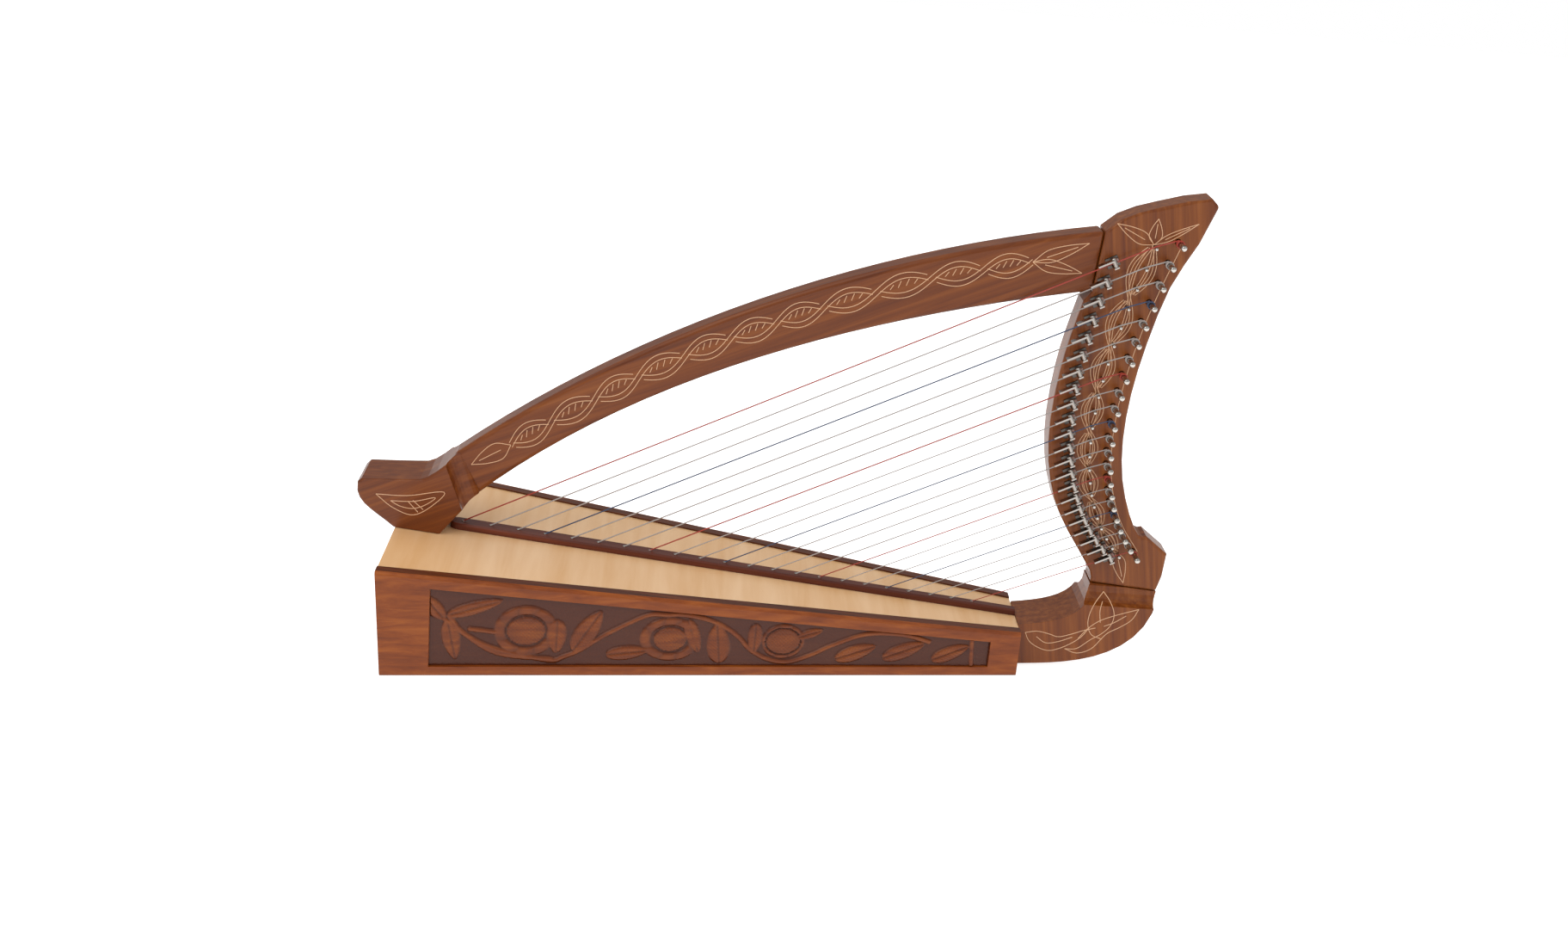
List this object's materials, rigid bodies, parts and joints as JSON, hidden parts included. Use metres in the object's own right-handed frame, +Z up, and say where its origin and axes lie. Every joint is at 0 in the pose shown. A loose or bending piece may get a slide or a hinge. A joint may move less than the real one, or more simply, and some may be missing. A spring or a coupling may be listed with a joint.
{
  "type": "lever harp",
  "caption": "Small lever harp: tapered soundbox with a pale soundboard, bowed pillar, curved neck, parallel strings, sharping levers and tuning pins.",
  "frame": {"origin": "underside of the back panel, midway along the soundbox, on its middle line", "axes": "+X along the soundbox from the base end to the shoulder, +Y across the box away from the side with the levers, +Z up from the back, which the harp lies on"},
  "size_m": [0.7986, 0.286, 0.4847],
  "materials": {
    "rosewood": "satin lacquer",
    "pale_soundboard": "satin lacquer",
    "dark_strip": "satin lacquer",
    "rib_wood": "satin",
    "inner_wood": "bare",
    "nickel": "polished",
    "lever_metal": "polished"
  },
  "bodies": {
    "harp_frame": {"back_brace_1": "inner_wood", "back_brace_2": "inner_wood", "back_brace_3": "inner_wood", "back_panel": "rosewood", "base_panel": "rosewood", "end_block": "inner_wood", "inner_rib": "inner_wood", "left_edge_strip": "dark_strip", "left_side_panel": "rosewood", "neck": "rosewood", "pillar": "rosewood", "right_edge_strip": "dark_strip", "right_side_panel": "rosewood", "shoulder_block": "rosewood", "soundboard": "pale_soundboard", "string_rib": "rib_wood"},
    "lever_01": {"lever_01": "lever_metal"},
    "tuning_pin_01": {"tuning_pin_01": "nickel"},
    "lever_02": {"lever_02": "lever_metal"},
    "tuning_pin_02": {"tuning_pin_02": "nickel"},
    "lever_03": {"lever_03": "lever_metal"},
    "tuning_pin_03": {"tuning_pin_03": "nickel"},
    "lever_04": {"lever_04": "lever_metal"},
    "tuning_pin_04": {"tuning_pin_04": "nickel"},
    "lever_05": {"lever_05": "lever_metal"},
    "tuning_pin_05": {"tuning_pin_05": "nickel"},
    "lever_06": {"lever_06": "lever_metal"},
    "tuning_pin_06": {"tuning_pin_06": "nickel"},
    "lever_07": {"lever_07": "lever_metal"},
    "tuning_pin_07": {"tuning_pin_07": "nickel"},
    "lever_08": {"lever_08": "lever_metal"},
    "tuning_pin_08": {"tuning_pin_08": "nickel"},
    "lever_09": {"lever_09": "lever_metal"},
    "tuning_pin_09": {"tuning_pin_09": "nickel"},
    "lever_10": {"lever_10": "lever_metal"},
    "tuning_pin_10": {"tuning_pin_10": "nickel"},
    "lever_11": {"lever_11": "lever_metal"},
    "tuning_pin_11": {"tuning_pin_11": "nickel"},
    "lever_12": {"lever_12": "lever_metal"},
    "tuning_pin_12": {"tuning_pin_12": "nickel"},
    "lever_13": {"lever_13": "lever_metal"},
    "tuning_pin_13": {"tuning_pin_13": "nickel"},
    "lever_14": {"lever_14": "lever_metal"},
    "tuning_pin_14": {"tuning_pin_14": "nickel"},
    "lever_15": {"lever_15": "lever_metal"},
    "tuning_pin_15": {"tuning_pin_15": "nickel"},
    "lever_16": {"lever_16": "lever_metal"},
    "tuning_pin_16": {"tuning_pin_16": "nickel"},
    "lever_17": {"lever_17": "lever_metal"},
    "tuning_pin_17": {"tuning_pin_17": "nickel"},
    "lever_18": {"lever_18": "lever_metal"},
    "tuning_pin_18": {"tuning_pin_18": "nickel"},
    "lever_19": {"lever_19": "lever_metal"},
    "tuning_pin_19": {"tuning_pin_19": "nickel"},
    "lever_20": {"lever_20": "lever_metal"},
    "tuning_pin_20": {"tuning_pin_20": "nickel"},
    "lever_21": {"lever_21": "lever_metal"},
    "tuning_pin_21": {"tuning_pin_21": "nickel"},
    "lever_22": {"lever_22": "lever_metal"},
    "tuning_pin_22": {"tuning_pin_22": "nickel"}
  },
  "joints": [
    {"name": "lever_01_turn", "type": "hinge", "parent": "harp_frame", "child": "lever_01", "pos_m": [0.35572, -0.0265, 0.4188], "axis": [-0.4617, 0, 0.887], "range_deg": [0, 95]},
    {"name": "tuning_pin_01_turn", "type": "hinge", "parent": "harp_frame", "child": "tuning_pin_01", "pos_m": [0.41393, 0, 0.44188], "axis": [0, 1, 0], "continuous": true},
    {"name": "lever_02_turn", "type": "hinge", "parent": "harp_frame", "child": "lever_02", "pos_m": [0.351, -0.0265, 0.39941], "axis": [-0.4617, 0, 0.887], "range_deg": [0, 95]},
    {"name": "tuning_pin_02_turn", "type": "hinge", "parent": "harp_frame", "child": "tuning_pin_02", "pos_m": [0.40696, 0, 0.42138], "axis": [0, 1, 0], "continuous": true},
    {"name": "lever_03_turn", "type": "hinge", "parent": "harp_frame", "child": "lever_03", "pos_m": [0.34688, -0.0265, 0.38052], "axis": [-0.4617, 0, 0.887], "range_deg": [0, 95]},
    {"name": "tuning_pin_03_turn", "type": "hinge", "parent": "harp_frame", "child": "tuning_pin_03", "pos_m": [0.40064, 0, 0.40141], "axis": [0, 1, 0], "continuous": true},
    {"name": "lever_04_turn", "type": "hinge", "parent": "harp_frame", "child": "lever_04", "pos_m": [0.34337, -0.0265, 0.36213], "axis": [-0.4617, 0, 0.887], "range_deg": [0, 95]},
    {"name": "tuning_pin_04_turn", "type": "hinge", "parent": "harp_frame", "child": "tuning_pin_04", "pos_m": [0.39498, 0, 0.38197], "axis": [0, 1, 0], "continuous": true},
    {"name": "lever_05_turn", "type": "hinge", "parent": "harp_frame", "child": "lever_05", "pos_m": [0.34047, -0.0265, 0.34425], "axis": [-0.4617, 0, 0.887], "range_deg": [0, 95]},
    {"name": "tuning_pin_05_turn", "type": "hinge", "parent": "harp_frame", "child": "tuning_pin_05", "pos_m": [0.38999, 0, 0.36307], "axis": [0, 1, 0], "continuous": true},
    {"name": "lever_06_turn", "type": "hinge", "parent": "harp_frame", "child": "lever_06", "pos_m": [0.3382, -0.0265, 0.32688], "axis": [-0.4617, 0, 0.887], "range_deg": [0, 95]},
    {"name": "tuning_pin_06_turn", "type": "hinge", "parent": "harp_frame", "child": "tuning_pin_06", "pos_m": [0.38569, 0, 0.34471], "axis": [0, 1, 0], "continuous": true},
    {"name": "lever_07_turn", "type": "hinge", "parent": "harp_frame", "child": "lever_07", "pos_m": [0.33656, -0.0265, 0.31003], "axis": [-0.4617, 0, 0.887], "range_deg": [0, 95]},
    {"name": "tuning_pin_07_turn", "type": "hinge", "parent": "harp_frame", "child": "tuning_pin_07", "pos_m": [0.38207, 0, 0.32689], "axis": [0, 1, 0], "continuous": true},
    {"name": "lever_08_turn", "type": "hinge", "parent": "harp_frame", "child": "lever_08", "pos_m": [0.33557, -0.0265, 0.29369], "axis": [-0.4617, 0, 0.887], "range_deg": [0, 95]},
    {"name": "tuning_pin_08_turn", "type": "hinge", "parent": "harp_frame", "child": "tuning_pin_08", "pos_m": [0.37915, 0, 0.30962], "axis": [0, 1, 0], "continuous": true},
    {"name": "lever_09_turn", "type": "hinge", "parent": "harp_frame", "child": "lever_09", "pos_m": [0.33521, -0.0265, 0.27788], "axis": [-0.4617, 0, 0.887], "range_deg": [0, 95]},
    {"name": "tuning_pin_09_turn", "type": "hinge", "parent": "harp_frame", "child": "tuning_pin_09", "pos_m": [0.37693, 0, 0.2929], "axis": [0, 1, 0], "continuous": true},
    {"name": "lever_10_turn", "type": "hinge", "parent": "harp_frame", "child": "lever_10", "pos_m": [0.33552, -0.0265, 0.2626], "axis": [-0.4617, 0, 0.887], "range_deg": [0, 95]},
    {"name": "tuning_pin_10_turn", "type": "hinge", "parent": "harp_frame", "child": "tuning_pin_10", "pos_m": [0.37543, 0, 0.27675], "axis": [0, 1, 0], "continuous": true},
    {"name": "lever_11_turn", "type": "hinge", "parent": "harp_frame", "child": "lever_11", "pos_m": [0.33649, -0.0265, 0.24785], "axis": [-0.4617, 0, 0.887], "range_deg": [0, 95]},
    {"name": "tuning_pin_11_turn", "type": "hinge", "parent": "harp_frame", "child": "tuning_pin_11", "pos_m": [0.37465, 0, 0.26115], "axis": [0, 1, 0], "continuous": true},
    {"name": "lever_12_turn", "type": "hinge", "parent": "harp_frame", "child": "lever_12", "pos_m": [0.33813, -0.0265, 0.23364], "axis": [-0.4617, 0, 0.887], "range_deg": [0, 95]},
    {"name": "tuning_pin_12_turn", "type": "hinge", "parent": "harp_frame", "child": "tuning_pin_12", "pos_m": [0.37459, 0, 0.24612], "axis": [0, 1, 0], "continuous": true},
    {"name": "lever_13_turn", "type": "hinge", "parent": "harp_frame", "child": "lever_13", "pos_m": [0.34045, -0.0265, 0.21996], "axis": [-0.4617, 0, 0.887], "range_deg": [0, 95]},
    {"name": "tuning_pin_13_turn", "type": "hinge", "parent": "harp_frame", "child": "tuning_pin_13", "pos_m": [0.37528, 0, 0.23165], "axis": [0, 1, 0], "continuous": true},
    {"name": "lever_14_turn", "type": "hinge", "parent": "harp_frame", "child": "lever_14", "pos_m": [0.34346, -0.0265, 0.20683], "axis": [-0.4617, 0, 0.887], "range_deg": [0, 95]},
    {"name": "tuning_pin_14_turn", "type": "hinge", "parent": "harp_frame", "child": "tuning_pin_14", "pos_m": [0.37671, 0, 0.21777], "axis": [0, 1, 0], "continuous": true},
    {"name": "lever_15_turn", "type": "hinge", "parent": "harp_frame", "child": "lever_15", "pos_m": [0.34716, -0.0265, 0.19425], "axis": [-0.4617, 0, 0.887], "range_deg": [0, 95]},
    {"name": "tuning_pin_15_turn", "type": "hinge", "parent": "harp_frame", "child": "tuning_pin_15", "pos_m": [0.37889, 0, 0.20446], "axis": [0, 1, 0], "continuous": true},
    {"name": "lever_16_turn", "type": "hinge", "parent": "harp_frame", "child": "lever_16", "pos_m": [0.35157, -0.0265, 0.18221], "axis": [-0.4617, 0, 0.887], "range_deg": [0, 95]},
    {"name": "tuning_pin_16_turn", "type": "hinge", "parent": "harp_frame", "child": "tuning_pin_16", "pos_m": [0.38183, 0, 0.19174], "axis": [0, 1, 0], "continuous": true},
    {"name": "lever_17_turn", "type": "hinge", "parent": "harp_frame", "child": "lever_17", "pos_m": [0.35668, -0.0265, 0.17074], "axis": [-0.4617, 0, 0.887], "range_deg": [0, 95]},
    {"name": "tuning_pin_17_turn", "type": "hinge", "parent": "harp_frame", "child": "tuning_pin_17", "pos_m": [0.38555, 0, 0.1796], "axis": [0, 1, 0], "continuous": true},
    {"name": "lever_18_turn", "type": "hinge", "parent": "harp_frame", "child": "lever_18", "pos_m": [0.36251, -0.0265, 0.15982], "axis": [-0.4617, 0, 0.887], "range_deg": [0, 95]},
    {"name": "tuning_pin_18_turn", "type": "hinge", "parent": "harp_frame", "child": "tuning_pin_18", "pos_m": [0.39005, 0, 0.16805], "axis": [0, 1, 0], "continuous": true},
    {"name": "lever_19_turn", "type": "hinge", "parent": "harp_frame", "child": "lever_19", "pos_m": [0.36907, -0.0265, 0.14947], "axis": [-0.4617, 0, 0.887], "range_deg": [0, 95]},
    {"name": "tuning_pin_19_turn", "type": "hinge", "parent": "harp_frame", "child": "tuning_pin_19", "pos_m": [0.39533, 0, 0.1571], "axis": [0, 1, 0], "continuous": true},
    {"name": "lever_20_turn", "type": "hinge", "parent": "harp_frame", "child": "lever_20", "pos_m": [0.37637, -0.0265, 0.13969], "axis": [-0.4617, 0, 0.887], "range_deg": [0, 95]},
    {"name": "tuning_pin_20_turn", "type": "hinge", "parent": "harp_frame", "child": "tuning_pin_20", "pos_m": [0.40141, 0, 0.14676], "axis": [0, 1, 0], "continuous": true},
    {"name": "lever_21_turn", "type": "hinge", "parent": "harp_frame", "child": "lever_21", "pos_m": [0.3844, -0.0265, 0.13048], "axis": [-0.4617, 0, 0.887], "range_deg": [0, 95]},
    {"name": "tuning_pin_21_turn", "type": "hinge", "parent": "harp_frame", "child": "tuning_pin_21", "pos_m": [0.40829, 0, 0.13701], "axis": [0, 1, 0], "continuous": true},
    {"name": "lever_22_turn", "type": "hinge", "parent": "harp_frame", "child": "lever_22", "pos_m": [0.39319, -0.0265, 0.12185], "axis": [-0.4617, 0, 0.887], "range_deg": [0, 95]},
    {"name": "tuning_pin_22_turn", "type": "hinge", "parent": "harp_frame", "child": "tuning_pin_22", "pos_m": [0.41598, 0, 0.12788], "axis": [0, 1, 0], "continuous": true}
  ]
}
